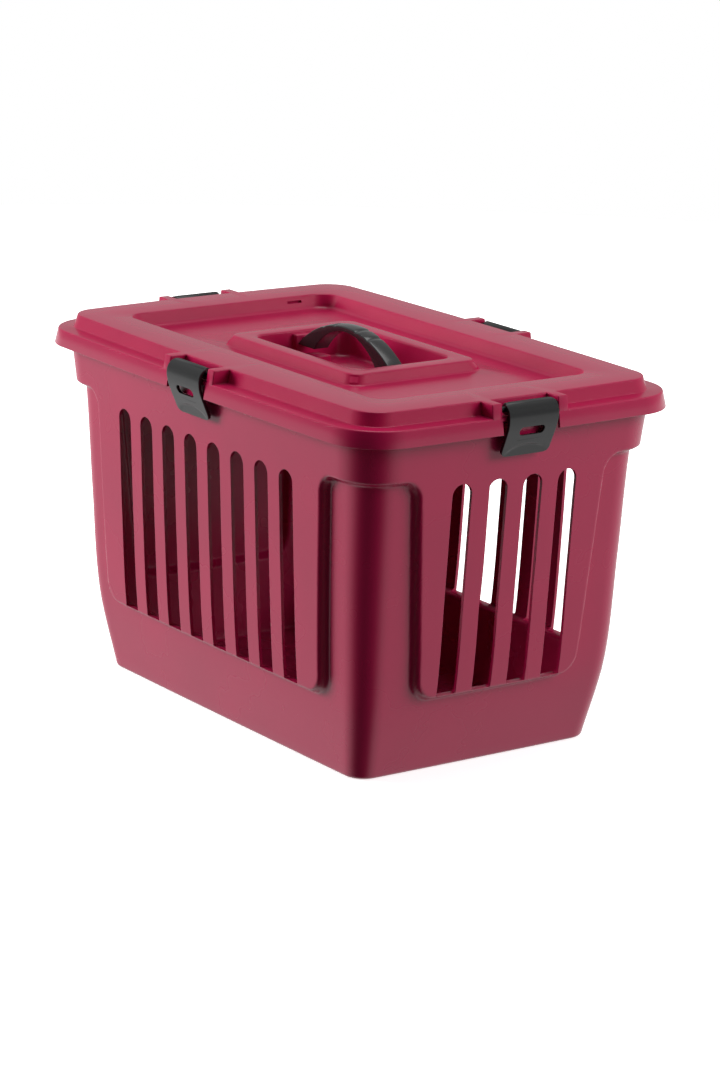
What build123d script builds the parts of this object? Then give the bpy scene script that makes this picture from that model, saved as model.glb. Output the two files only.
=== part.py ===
from build123d import *
import os
from math import sqrt

# Pet carrier with a slotted tub, a lift-off lid, four side clips and a folding handle.
# Millimetres. +Z is up, X runs along the long side, the origin is under the middle of the tub.

# Overall plan, at the lid's skirt
SKIRT_LENGTH = 500.0
SKIRT_WIDTH = 331.5
SIDE_BOW = 4.4
SKIRT_CORNER = 42.0

# Heights
TUB_RIM_Z = 299.4
SKIRT_BOTTOM_Z = 288.0
LID_TOP_Z = 313.3
RECESS_DEPTH = 12.0
PLINTH_BELOW_TOP = 3.0
WELL_DEPTH = 26.0

# Walls and clearances
TUB_WALL = 2.8
FLOOR_THICKNESS = 3.2
LID_WALL = 2.6
SKIRT_TO_RIM_GAP = 1.2
LIP_GAP = 0.7

# Tub: each level is a height, the insets of its ends and its sides from the skirt's faces,
# its corner radius and the bow of its sides
TUB_LEVELS = (
    (0.0, 58.0, 46.0, 18.0, 0.6),
    (70.0, 40.5, 34.5, 22.0, 1.6),
    (160.0, 32.6, 28.6, 25.0, 2.6),
    (248.0, 26.0, 24.5, 27.0, 3.2),
    (TUB_RIM_Z, 19.5, 19.5, 30.0, 3.5),
)
SMALLEST_CORNER = 4.0
PROUD_STEP = 8.0
TUB_BASE_FILLET = 3.0

# Proud panels on the four faces, and the band above them
BAND_BOTTOM_Z = 253.5
PANEL_BOTTOM_Z = 67.5
SIDE_PANEL_TOP_HALF = 171.0
SIDE_PANEL_BOTTOM_HALF = 163.5
END_PANEL_TOP_HALF = 94.5
END_PANEL_BOTTOM_HALF = 81.0
PANEL_CORNER = 18.0
BAND_CORNER = 14.0

# Ventilation slots
SLOT_WIDTH = 19.0
SLOT_PITCH = 35.0
SLOT_TOP_Z = 248.0
SIDE_SLOTS = 8
END_SLOTS = 4

# Tub rim flange and the catches that the clips hold
RIM_FLANGE_THICKNESS = 3.0
CATCH_HALF_WIDTH = 20.0
CATCH_HEIGHT = 11.5
CATCH_SETBACK = 2.4
CATCH_ROOT = 14.0

# Lid
LID_EDGE_INSET = 18.7
LID_DRAFT = 2.0
LID_CORNER = 24.0
SKIRT_DRAFT = 2.0
BRIM_EDGE_FILLET = 1.6
LID_EDGE_FILLET = 1.2
LIP_DEPTH = 6.0
RECESS_HALF_LENGTH = 190.0
RECESS_HALF_WIDTH = 106.0
RECESS_CORNER = 16.0
RECESS_DRAFT = 3.0
PLINTH_HALF_LENGTH = 94.0
PLINTH_HALF_WIDTH = 64.0
PLINTH_CORNER = 13.0
PLINTH_DRAFT = 3.0
WELL_HALF_LENGTH = 77.0
WELL_HALF_WIDTH = 49.0
WELL_CORNER = 12.0
WELL_DRAFT = 3.0
BOWL_RADIUS = 60.0
BOWL_DEPTH = 8.0
REST_BLOCK_INNER = 42.0
REST_BLOCK_LENGTH = 18.0
REST_BLOCK_WIDTH = 18.0
NOTCH_WIDTH = 15.0
NOTCH_HEIGHT = 4.0
NOTCH_DEPTH = 1.6
NOTCH_CENTRE_Y = 69.0
CUT_PAST = 1.0

# Clips and their ears
CLIP_HALF_WIDTH = 24.4
CLIP_TOP_HALF_WIDTH = 24.0
CLIP_TAIL_HALF_WIDTH = 23.3
CLIP_SIDE_GAP = 3.6
EAR_WIDTH = 9.5
PIVOT_SETBACK = 6.5
BARREL_RADIUS = 5.2
BARREL_FLOOR_GAP = 0.5
CLIP_THICKNESS = 2.7
CLIP_BULGE = 2.6
CLIP_BULGE_DROP = 6.2
CLIP_TAIL_Z = 271.2
CLIP_SLOT_HALF_LENGTH = 12.4
CLIP_SLOT_HEIGHT = 7.5
CLIP_SLOT_ABOVE_HOOK = 1.2
CLIP_CORNER = 7.0
CLIP_OUTLINE_MARGIN = 1.0
HOOK_HEIGHT = 3.5
HOOK_GAP = 0.3
HOOK_DROP = 0.4
STUB_RADIUS = 2.2
STUB_LENGTH = 8.1
STUB_CLEARANCE = 0.07
STUB_END_GAP = 0.5

# Handle
HANDLE_WIDTH = 15.0
HANDLE_CREST_Z = 328.5
HANDLE_CREST_THICKNESS = 5.5
HANDLE_FOOT_Z = 299.8
HANDLE_HALF_LENGTH = 70.0
HANDLE_GRIP_HALF = 45.0
HANDLE_PIVOT_Z = 303.0
TRUNNION_RADIUS = 2.4
TRUNNION_REACH = 5.4
TRUNNION_ROOT = 8.0
TRUNNION_CLEARANCE = 0.07
BOSS_GAP = 0.6
BOSS_WIDTH = 16.0
BOSS_ABOVE_PIVOT = 4.5
SWEEP_GAP = 1.0

# Values that follow from the sizes above
HALF_LENGTH = SKIRT_LENGTH / 2
HALF_WIDTH = SKIRT_WIDTH / 2
BRIM_TOP_Z = TUB_RIM_Z + LID_WALL
RECESS_FLOOR_Z = LID_TOP_Z - RECESS_DEPTH
PLINTH_TOP_Z = LID_TOP_Z - PLINTH_BELOW_TOP
WELL_FLOOR_Z = PLINTH_TOP_Z - WELL_DEPTH
PIVOT_Z = BRIM_TOP_Z + BARREL_FLOOR_GAP + BARREL_RADIUS
EAR_INNER = CLIP_HALF_WIDTH + CLIP_SIDE_GAP
REACH = SKIRT_LENGTH
TUB_TOP_SLOPE = (TUB_LEVELS[-2][1] - TUB_LEVELS[-1][1]) / (TUB_LEVELS[-1][0] - TUB_LEVELS[-2][0])


def plan(half_length, half_width, corner, z, bow=SIDE_BOW):
    """A rectangle with gently bowed sides and round corners, level at z."""
    cx = half_length - bow
    cy = half_width - bow
    sides = [
        ThreePointArc((-cx, -cy), (0, -half_width), (cx, -cy)),
        ThreePointArc((cx, -cy), (half_length, 0), (cx, cy)),
        ThreePointArc((cx, cy), (0, half_width), (-cx, cy)),
        ThreePointArc((-cx, cy), (-half_length, 0), (-cx, -cy)),
    ]
    face = make_face(sides)
    face = fillet(face.vertices(), corner)
    return Pos(0, 0, z) * face


def plain_plan(half_length, half_width, corner, z):
    """A straight-sided rectangle with round corners, level at z."""
    return Pos(0, 0, z) * RectangleRounded(2 * half_length, 2 * half_width, corner)


def tub_body(inward, bottom_z, top_z):
    """The tub's smooth body, moved inward by a distance, between two heights."""
    sections = []
    for z, end_inset, side_inset, corner, bow in TUB_LEVELS:
        half_x = HALF_LENGTH - end_inset - inward
        half_y = HALF_WIDTH - side_inset - inward
        sections.append(plan(half_x, half_y, max(corner - inward, SMALLEST_CORNER), z, bow))
    body = loft(sections)
    keep = Pos(0, 0, (bottom_z + top_z) / 2) * Box(REACH * 2, REACH * 2, top_z - bottom_z)
    return body & keep


def panel_mask(top_half, bottom_half, inward):
    """The outline of the band and one proud panel, drawn in X and Z."""
    band_z = BAND_BOTTOM_Z + inward
    low_z = PANEL_BOTTOM_Z + inward
    top = top_half - inward
    low = bottom_half - inward
    points = [
        (-REACH, LID_TOP_Z), (-REACH, band_z), (-top, band_z), (-low, low_z),
        (low, low_z), (top, band_z), (REACH, band_z), (REACH, LID_TOP_Z),
    ]
    face = make_face(Polyline(*points, close=True))
    under_band = face.vertices().group_by(Axis.Y)[1].sort_by(Axis.X)[1:3]
    face = fillet(under_band, BAND_CORNER + inward)
    return fillet(face.vertices().group_by(Axis.Y)[0], PANEL_CORNER - inward)


def with_proud_faces(body, inward):
    """The body, with the band and the panels of all four faces standing proud of it."""
    proud = tub_body(inward - PROUD_STEP, PANEL_BOTTOM_Z, TUB_RIM_Z)
    side = panel_mask(SIDE_PANEL_TOP_HALF, SIDE_PANEL_BOTTOM_HALF, inward)
    end = panel_mask(END_PANEL_TOP_HALF, END_PANEL_BOTTOM_HALF, inward)
    body = body + (proud & extrude(Plane.XZ * side, amount=REACH, both=True))
    return body + (proud & extrude(Plane.YZ * end, amount=REACH, both=True))


def slot_cutters(count, along_y):
    """A row of upright slots with round tops and square feet."""
    foot_z = PANEL_BOTTOM_Z + TUB_WALL
    straight_top = SLOT_TOP_Z - SLOT_WIDTH / 2
    cutters = []
    for i in range(count):
        place = (i - (count - 1) / 2) * SLOT_PITCH
        column = Pos(place, (foot_z + straight_top) / 2) * Rectangle(SLOT_WIDTH, straight_top - foot_z)
        shape = column + Pos(place, straight_top) * Circle(SLOT_WIDTH / 2)
        if along_y:
            cutters.append(extrude(Plane.XZ * shape, amount=REACH, both=True))
        else:
            cutters.append(extrude(Plane.YZ * shape, amount=REACH))
    return cutters


def at_each_side(part_for_end, part_for_side):
    """Two copies for the ends and two for the long sides, all turned from parts drawn on +X."""
    return {
        "right": part_for_end,
        "left": Rot(0, 0, 180) * part_for_end,
        "front": Rot(0, 0, -90) * part_for_side,
        "back": Rot(0, 0, 90) * part_for_side,
    }


def catch(face_distance):
    """One catch block under the tub's rim, drawn on +X."""
    outer = face_distance - CATCH_SETBACK
    inner = face_distance - CATCH_ROOT
    height = CATCH_HEIGHT + RIM_FLANGE_THICKNESS
    block = Box(outer - inner, 2 * CATCH_HALF_WIDTH, height)
    return Pos((outer + inner) / 2, 0, TUB_RIM_Z - height / 2) * block


def make_tub():
    """The slotted tub, with its proud panels, rim flange and catches."""
    outer = tub_body(0, 0, TUB_RIM_Z)
    base_edges = outer.edges().group_by(Axis.Z)[0]
    outer = fillet(base_edges, TUB_BASE_FILLET)
    outer = with_proud_faces(outer, 0)
    cavity = with_proud_faces(tub_body(TUB_WALL, FLOOR_THICKNESS, TUB_RIM_Z), TUB_WALL)
    flange_inset = LID_WALL + SKIRT_DRAFT + SKIRT_TO_RIM_GAP
    flange_face = plan(
        HALF_LENGTH - flange_inset, HALF_WIDTH - flange_inset, SKIRT_CORNER - flange_inset,
        TUB_RIM_Z - RIM_FLANGE_THICKNESS,
    )
    outer = outer + extrude(flange_face, amount=RIM_FLANGE_THICKNESS)
    for block in at_each_side(catch(HALF_LENGTH), catch(HALF_WIDTH)).values():
        outer = outer + block
    tub = outer - cavity
    for cutter in slot_cutters(SIDE_SLOTS, True) + slot_cutters(END_SLOTS, False):
        tub = tub - cutter
    return tub


def ears(face_distance):
    """The two ears beside one clip, drawn on +X."""
    depth = LID_EDGE_INSET + LID_WALL
    height = LID_TOP_Z - TUB_RIM_Z
    block = Box(depth, EAR_WIDTH, height)
    centre_x = face_distance - depth / 2
    pair = Pos(centre_x, EAR_INNER + EAR_WIDTH / 2, TUB_RIM_Z + height / 2) * block
    return pair + Pos(centre_x, -EAR_INNER - EAR_WIDTH / 2, TUB_RIM_Z + height / 2) * block


def ear_sockets(face_distance):
    """The blind holes in one pair of ears, drawn on +X."""
    half = EAR_INNER + STUB_LENGTH - CLIP_SIDE_GAP + STUB_END_GAP
    hole = Cylinder(STUB_RADIUS + STUB_CLEARANCE, 2 * half, rotation=(90, 0, 0))
    return Pos(face_distance - PIVOT_SETBACK, 0, PIVOT_Z) * hole


def skirt_window(face_distance):
    """The opening in the skirt behind one clip, drawn on +X."""
    depth = 2 * (LID_WALL + SKIRT_DRAFT + SKIRT_TO_RIM_GAP)
    height = TUB_RIM_Z - SKIRT_BOTTOM_Z
    return Pos(face_distance, 0, SKIRT_BOTTOM_Z + height / 2) * Box(depth, 2 * EAR_INNER, height)


def make_lid():
    """The lid, one moulding: skirt, brim, ears, recess, plinth and handle well."""
    skirt = loft([
        plan(HALF_LENGTH, HALF_WIDTH, SKIRT_CORNER, SKIRT_BOTTOM_Z),
        plan(HALF_LENGTH - SKIRT_DRAFT, HALF_WIDTH - SKIRT_DRAFT, SKIRT_CORNER, BRIM_TOP_Z),
    ])
    skirt = fillet(skirt.edges().group_by(Axis.Z)[-1], BRIM_EDGE_FILLET)
    base_inset = LID_EDGE_INSET - LID_DRAFT
    top = loft([
        plan(HALF_LENGTH - base_inset, HALF_WIDTH - base_inset, LID_CORNER, TUB_RIM_Z),
        plan(HALF_LENGTH - LID_EDGE_INSET, HALF_WIDTH - LID_EDGE_INSET, LID_CORNER, LID_TOP_Z),
    ])
    top = fillet(top.edges().group_by(Axis.Z)[-1], LID_EDGE_FILLET)
    ear_limit = loft([
        plan(HALF_LENGTH, HALF_WIDTH, SKIRT_CORNER, SKIRT_BOTTOM_Z),
        plan(HALF_LENGTH - SKIRT_DRAFT * 2, HALF_WIDTH - SKIRT_DRAFT * 2, SKIRT_CORNER, LID_TOP_Z),
    ])
    lid = skirt + top
    for pair in at_each_side(ears(HALF_LENGTH), ears(HALF_WIDTH)).values():
        lid = lid + (pair & ear_limit)
    wall = LID_WALL
    high = wall + SKIRT_DRAFT
    lid = lid - loft([
        plan(HALF_LENGTH - wall, HALF_WIDTH - wall, SKIRT_CORNER - wall, SKIRT_BOTTOM_Z),
        plan(HALF_LENGTH - high, HALF_WIDTH - high, SKIRT_CORNER - wall, TUB_RIM_Z),
    ])
    under_inset = LID_EDGE_INSET + wall
    under_top = plan(HALF_LENGTH - under_inset, HALF_WIDTH - under_inset, LID_CORNER - wall, TUB_RIM_Z)
    lid = lid - extrude(under_top, amount=LID_TOP_Z - wall - TUB_RIM_Z)
    lid = lid + locating_lip()
    lid = lid + tray(wall, RECESS_FLOOR_Z - wall, LID_TOP_Z)
    lid = lid - tray(0, RECESS_FLOOR_Z, LID_TOP_Z + CUT_PAST)
    lid = lid + plinth_block(0, RECESS_FLOOR_Z - wall, PLINTH_TOP_Z)
    lid = lid - plinth_block(wall, RECESS_FLOOR_Z - wall, PLINTH_TOP_Z - wall)
    lid = lid + well_block(wall, WELL_FLOOR_Z - wall, PLINTH_TOP_Z) + finger_bowl(wall)
    lid = lid - well_block(0, WELL_FLOOR_Z, PLINTH_TOP_Z) - finger_bowl(0)
    for block in well_furniture():
        lid = lid + block
    notch_x = -RECESS_HALF_LENGTH + RECESS_DRAFT / 2 - NOTCH_DEPTH / 2
    notch_z = RECESS_FLOOR_Z + RECESS_DEPTH / 2
    lid = lid - Pos(notch_x, NOTCH_CENTRE_Y, notch_z) * Box(NOTCH_DEPTH * 2, NOTCH_WIDTH, NOTCH_HEIGHT)
    for holes in at_each_side(ear_sockets(HALF_LENGTH), ear_sockets(HALF_WIDTH)).values():
        lid = lid - holes
    for window in at_each_side(skirt_window(HALF_LENGTH), skirt_window(HALF_WIDTH)).values():
        lid = lid - window
    return lid


def locating_lip():
    """The rib under the brim that drops inside the tub's rim."""
    rim_z, end_inset, side_inset, rim_corner, bow = TUB_LEVELS[-1]
    inward = TUB_WALL + LIP_GAP + LIP_DEPTH * TUB_TOP_SLOPE - PROUD_STEP
    half_x = HALF_LENGTH - end_inset - inward
    half_y = HALF_WIDTH - side_inset - inward
    corner = rim_corner - inward
    low_z = rim_z - LIP_DEPTH
    outer = plan(half_x, half_y, corner, low_z, bow)
    inner = plan(half_x - LID_WALL, half_y - LID_WALL, corner - LID_WALL, low_z, bow)
    height = LIP_DEPTH + LID_WALL / 2
    return extrude(outer, amount=height) - extrude(inner, amount=height)


def tray(outward, floor_z, top_z):
    """The recess in the lid's top, as a block that is grown outward by a distance."""
    half_x = RECESS_HALF_LENGTH + outward
    half_y = RECESS_HALF_WIDTH + outward
    corner = RECESS_CORNER + outward
    return loft([
        plain_plan(half_x - RECESS_DRAFT, half_y - RECESS_DRAFT, corner, floor_z),
        plain_plan(half_x, half_y, corner, top_z),
    ])


def plinth_block(inward, bottom_z, top_z):
    """The plinth in the middle of the recess."""
    return loft([
        plain_plan(
            PLINTH_HALF_LENGTH + PLINTH_DRAFT - inward, PLINTH_HALF_WIDTH + PLINTH_DRAFT - inward,
            PLINTH_CORNER, bottom_z,
        ),
        plain_plan(PLINTH_HALF_LENGTH - inward, PLINTH_HALF_WIDTH - inward, PLINTH_CORNER, top_z),
    ])


def well_block(outward, bottom_z, top_z):
    """The handle well inside the plinth."""
    return loft([
        plain_plan(
            WELL_HALF_LENGTH - WELL_DRAFT + outward, WELL_HALF_WIDTH - WELL_DRAFT + outward,
            WELL_CORNER + outward, bottom_z,
        ),
        plain_plan(WELL_HALF_LENGTH + outward, WELL_HALF_WIDTH + outward, WELL_CORNER + outward, top_z),
    ])


def finger_bowl(outward):
    """The round hollow in the well's floor, under the grip."""
    centre_z = WELL_FLOOR_Z - BOWL_DEPTH + BOWL_RADIUS
    ball = Pos(0, 0, centre_z) * Sphere(BOWL_RADIUS + outward)
    return ball & (Pos(0, 0, WELL_FLOOR_Z - REACH / 2) * Box(REACH, REACH, REACH))


def well_furniture():
    """The two bearing bosses and the two rest blocks in the well."""
    boss_inner = HANDLE_HALF_LENGTH + BOSS_GAP
    boss_top = HANDLE_PIVOT_Z + BOSS_ABOVE_PIVOT
    boss_length = WELL_HALF_LENGTH - boss_inner
    root_z = WELL_FLOOR_Z - LID_WALL / 2
    boss = Box(boss_length, BOSS_WIDTH, boss_top - root_z)
    sweep = sqrt((HANDLE_WIDTH / 2) ** 2 + (HANDLE_PIVOT_Z - HANDLE_FOOT_Z) ** 2) + SWEEP_GAP
    rest_top = HANDLE_PIVOT_Z - sweep
    rest = Box(REST_BLOCK_LENGTH, REST_BLOCK_WIDTH, rest_top - root_z)
    hole_reach = HANDLE_HALF_LENGTH + TRUNNION_REACH + STUB_END_GAP
    hole = Cylinder(TRUNNION_RADIUS + TRUNNION_CLEARANCE, 2 * hole_reach, rotation=(0, 90, 0))
    made = []
    for side in (-1, 1):
        boss_x = side * (boss_inner + boss_length / 2)
        rest_x = side * (REST_BLOCK_INNER + REST_BLOCK_LENGTH / 2)
        made.append(Pos(boss_x, 0, (boss_top + root_z) / 2) * boss - Pos(0, 0, HANDLE_PIVOT_Z) * hole)
        made.append(Pos(rest_x, 0, (rest_top + root_z) / 2) * rest)
    return made


def clip_plate(face, barrel_top):
    """The curved plate of one clip, before its slot is cut, drawn on +X."""
    pivot_x = face - PIVOT_SETBACK
    front = face + CLIP_BULGE
    back = front - CLIP_THICKNESS
    tail_back = face - CATCH_SETBACK + HOOK_GAP
    tail_front = tail_back + CLIP_THICKNESS
    widest_z = PIVOT_Z - CLIP_BULGE_DROP
    outer = Spline(
        (pivot_x, barrel_top), (front, widest_z), (tail_front, CLIP_TAIL_Z), tangents=[(1, 0), (0, -1)],
    )
    inner = Spline((tail_back, CLIP_TAIL_Z), (back, widest_z), (pivot_x, PIVOT_Z), tangents=[(0, 1), (-1, 0)])
    profile = make_face([
        outer, Line((tail_front, CLIP_TAIL_Z), (tail_back, CLIP_TAIL_Z)), inner,
        Line((pivot_x, PIVOT_Z), (pivot_x, barrel_top)),
    ])
    plate = extrude(Plane.XZ * profile, amount=CLIP_HALF_WIDTH, both=True)
    top = barrel_top + CLIP_OUTLINE_MARGIN
    tail = CLIP_TAIL_Z - CLIP_OUTLINE_MARGIN
    outline = make_face([
        ThreePointArc((-CLIP_TOP_HALF_WIDTH, top), (-CLIP_HALF_WIDTH, widest_z), (-CLIP_TAIL_HALF_WIDTH, tail)),
        Line((-CLIP_TAIL_HALF_WIDTH, tail), (CLIP_TAIL_HALF_WIDTH, tail)),
        ThreePointArc((CLIP_TAIL_HALF_WIDTH, tail), (CLIP_HALF_WIDTH, widest_z), (CLIP_TOP_HALF_WIDTH, top)),
        Line((CLIP_TOP_HALF_WIDTH, top), (-CLIP_TOP_HALF_WIDTH, top)),
    ])
    outline = fillet(outline.vertices().sort_by(Axis.Y)[:2], CLIP_CORNER)
    return plate & extrude(Plane.YZ * outline, amount=2 * REACH)


def make_clip(face):
    """One clip, drawn on +X: barrel, curved plate with a slot, tucked tail, hook and two stubs."""
    pivot_x = face - PIVOT_SETBACK
    plate = clip_plate(face, PIVOT_Z + BARREL_RADIUS)
    barrel = Pos(pivot_x, 0, PIVOT_Z) * Cylinder(
        BARREL_RADIUS, 2 * CLIP_TOP_HALF_WIDTH, rotation=(90, 0, 0)
    )
    hook_top = TUB_RIM_Z - RIM_FLANGE_THICKNESS - CATCH_HEIGHT - HOOK_DROP
    hook_tip = face - CATCH_SETBACK + HOOK_GAP
    hook_length = CLIP_THICKNESS
    hook = Pos(hook_tip + hook_length / 2, 0, hook_top - HOOK_HEIGHT / 2) * Box(
        hook_length, 2 * CLIP_SLOT_HALF_LENGTH, HOOK_HEIGHT
    )
    slot = SlotOverall(2 * CLIP_SLOT_HALF_LENGTH, CLIP_SLOT_HEIGHT)
    slot_z = hook_top + CLIP_SLOT_HEIGHT / 2 + CLIP_SLOT_ABOVE_HOOK
    slot_cut = extrude(Plane.YZ * (Pos(0, slot_z) * slot), amount=2 * REACH)
    stubs = Pos(pivot_x, 0, PIVOT_Z) * Cylinder(
        STUB_RADIUS, 2 * (CLIP_HALF_WIDTH + STUB_LENGTH), rotation=(90, 0, 0)
    )
    return plate - slot_cut + hook + barrel + stubs


def make_handle():
    """The arched grip with flat feet and two trunnions along X."""
    inner_crest = HANDLE_CREST_Z - HANDLE_CREST_THICKNESS
    outline = make_face([
        ThreePointArc((-HANDLE_HALF_LENGTH, HANDLE_FOOT_Z), (0, HANDLE_CREST_Z),
                      (HANDLE_HALF_LENGTH, HANDLE_FOOT_Z)),
        Line((HANDLE_HALF_LENGTH, HANDLE_FOOT_Z), (HANDLE_GRIP_HALF, HANDLE_FOOT_Z)),
        ThreePointArc((HANDLE_GRIP_HALF, HANDLE_FOOT_Z), (0, inner_crest), (-HANDLE_GRIP_HALF, HANDLE_FOOT_Z)),
        Line((-HANDLE_GRIP_HALF, HANDLE_FOOT_Z), (-HANDLE_HALF_LENGTH, HANDLE_FOOT_Z)),
    ])
    arch = extrude(Plane.XZ * outline, amount=HANDLE_WIDTH / 2, both=True)
    length = TRUNNION_REACH + TRUNNION_ROOT
    for side in (-1, 1):
        centre = side * (HANDLE_HALF_LENGTH + TRUNNION_REACH - length / 2)
        arch = arch + Pos(centre, 0, HANDLE_PIVOT_Z) * Cylinder(TRUNNION_RADIUS, length, rotation=(0, 90, 0))
    return arch


def main():
    """Builds every node and writes it to parts/."""
    os.makedirs("parts", exist_ok=True)
    nodes = {"tub": make_tub(), "lid": make_lid(), "handle": make_handle()}
    for name, clip in at_each_side(make_clip(HALF_LENGTH), make_clip(HALF_WIDTH)).items():
        nodes["clip_" + name] = clip
    for name, shape in nodes.items():
        solids = shape.solids()
        whole = solids[0] if len(solids) == 1 else Compound(children=list(solids))
        export_step(whole, f"parts/{name}.step")


main()
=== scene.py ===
"""Pet carrier: the finished look of the tub, the lid, the handle and the four clips.

The pieces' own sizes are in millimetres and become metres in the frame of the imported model.
The origin is under the middle of the tub, X runs along the long side, and the slotted end is at +X.
"""

from __future__ import annotations

import logging
import math
from dataclasses import dataclass, field
from enum import Enum
from typing import Callable, Iterable, NamedTuple, Sequence

import bmesh
import bpy
from mathutils import Matrix, Vector

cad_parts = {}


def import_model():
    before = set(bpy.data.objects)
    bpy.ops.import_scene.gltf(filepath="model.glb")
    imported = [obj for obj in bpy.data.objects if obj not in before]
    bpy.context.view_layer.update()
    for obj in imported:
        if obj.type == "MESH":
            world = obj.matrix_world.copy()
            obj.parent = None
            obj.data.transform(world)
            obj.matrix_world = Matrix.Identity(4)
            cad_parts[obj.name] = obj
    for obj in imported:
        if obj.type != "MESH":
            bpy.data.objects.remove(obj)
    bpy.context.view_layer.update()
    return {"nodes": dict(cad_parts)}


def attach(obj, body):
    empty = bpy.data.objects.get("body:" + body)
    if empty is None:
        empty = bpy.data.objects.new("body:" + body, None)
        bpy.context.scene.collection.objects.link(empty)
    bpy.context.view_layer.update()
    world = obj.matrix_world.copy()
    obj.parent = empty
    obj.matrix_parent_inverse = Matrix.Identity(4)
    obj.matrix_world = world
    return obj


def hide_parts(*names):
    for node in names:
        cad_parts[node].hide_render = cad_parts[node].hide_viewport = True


MM = 0.001
SAME_POINT = 1e-6
SMALLEST_CORNER = 0.2
Place = Callable[[float, float, float], tuple]
log = logging.getLogger("pet_carrier")


class Side(Enum):
    """A side of the carrier: its name in the frame and its outward direction in degrees."""

    RIGHT = ("right", 0.0)
    BACK = ("back", 90.0)
    LEFT = ("left", 180.0)
    FRONT = ("front", -90.0)

    @property
    def label(self) -> str:
        """The side's name in the frame."""
        return self.value[0]

    @property
    def degrees(self) -> float:
        """The outward direction, counted from +X."""
        return self.value[1]


class Blend(Enum):
    """How two solids are combined."""

    UNION = "UNION"
    CUT = "DIFFERENCE"


class Ring(NamedTuple):
    """One level loop of a shell: half sizes, corner radius, bow and height, in millimetres."""

    half_x: float
    half_y: float
    corner: float
    bow: float
    z: float


@dataclass(frozen=True)
class Feature:
    """A loop in plan that rings are set off from."""

    half_x: float
    half_y: float
    corner: float
    bow: float = 0.0

    def ring(self, off: float, z: float) -> Ring:
        """The loop moved outward by off, at height z."""
        corner = max(self.corner + off, SMALLEST_CORNER)
        return Ring(self.half_x + off, self.half_y + off, corner, self.bow, z)

    def arc(self, off: float, z: float, radius: float, start: float, end: float,
            steps: int = 5) -> list[Ring]:
        """Rings round a fillet.

        Args:
            off: Outward place of the fillet's centre.
            z: Height of the fillet's centre.
            radius: Fillet radius.
            start: First angle in degrees, from outward towards up.
            end: Last angle in degrees.
            steps: Number of rings less one.

        Returns:
            The rings in order.
        """
        rings = []
        for i in range(steps + 1):
            angle = math.radians(start + (end - start) * i / steps)
            rings.append(self.ring(off + radius * math.cos(angle), z + radius * math.sin(angle)))
        return rings


@dataclass(frozen=True)
class Spread:
    """How many columns a loop has, and where they crowd together, as fractions of a side."""

    long_stops: Sequence[tuple[float, int]]
    short_stops: Sequence[tuple[float, int]]
    corner_steps: int

    @staticmethod
    def fractions(stops: Sequence[tuple[float, int]]) -> list[float]:
        """Fractions from -1 to 1, spaced as the stops say from the middle outward."""
        half = [0.0]
        last = 0.0
        for stop, count in stops:
            half += [last + (stop - last) * (i + 1) / count for i in range(count)]
            last = stop
        return [-f for f in reversed(half[1:])] + half

    def points(self, ring: Ring) -> list[tuple[float, float]]:
        """The points of one loop in plan, counterclockwise from the -X end of the front side."""
        a, b, r = ring.half_x, ring.half_y, ring.corner
        sx, sy = a - r, b - r
        along = self.fractions(self.long_stops)
        across = self.fractions(self.short_stops)
        raw: list[tuple[float, float]] = []
        sides = (
            ([(f * sx, -b) for f in along], (sx, -sy), -90.0),
            ([(a, f * sy) for f in across], (sx, sy), 0.0),
            ([(-f * sx, b) for f in along], (-sx, sy), 90.0),
            ([(-a, -f * sy) for f in across], (-sx, -sy), 180.0),
        )
        for straight, centre, start in sides:
            raw += straight
            for i in range(1, self.corner_steps):
                angle = math.radians(start + 90.0 * i / self.corner_steps)
                raw.append((centre[0] + r * math.cos(angle), centre[1] + r * math.sin(angle)))
        return [(x - ring.bow * x / a * (y / b) ** 2, y - ring.bow * y / b * (x / a) ** 2) for x, y in raw]


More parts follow.
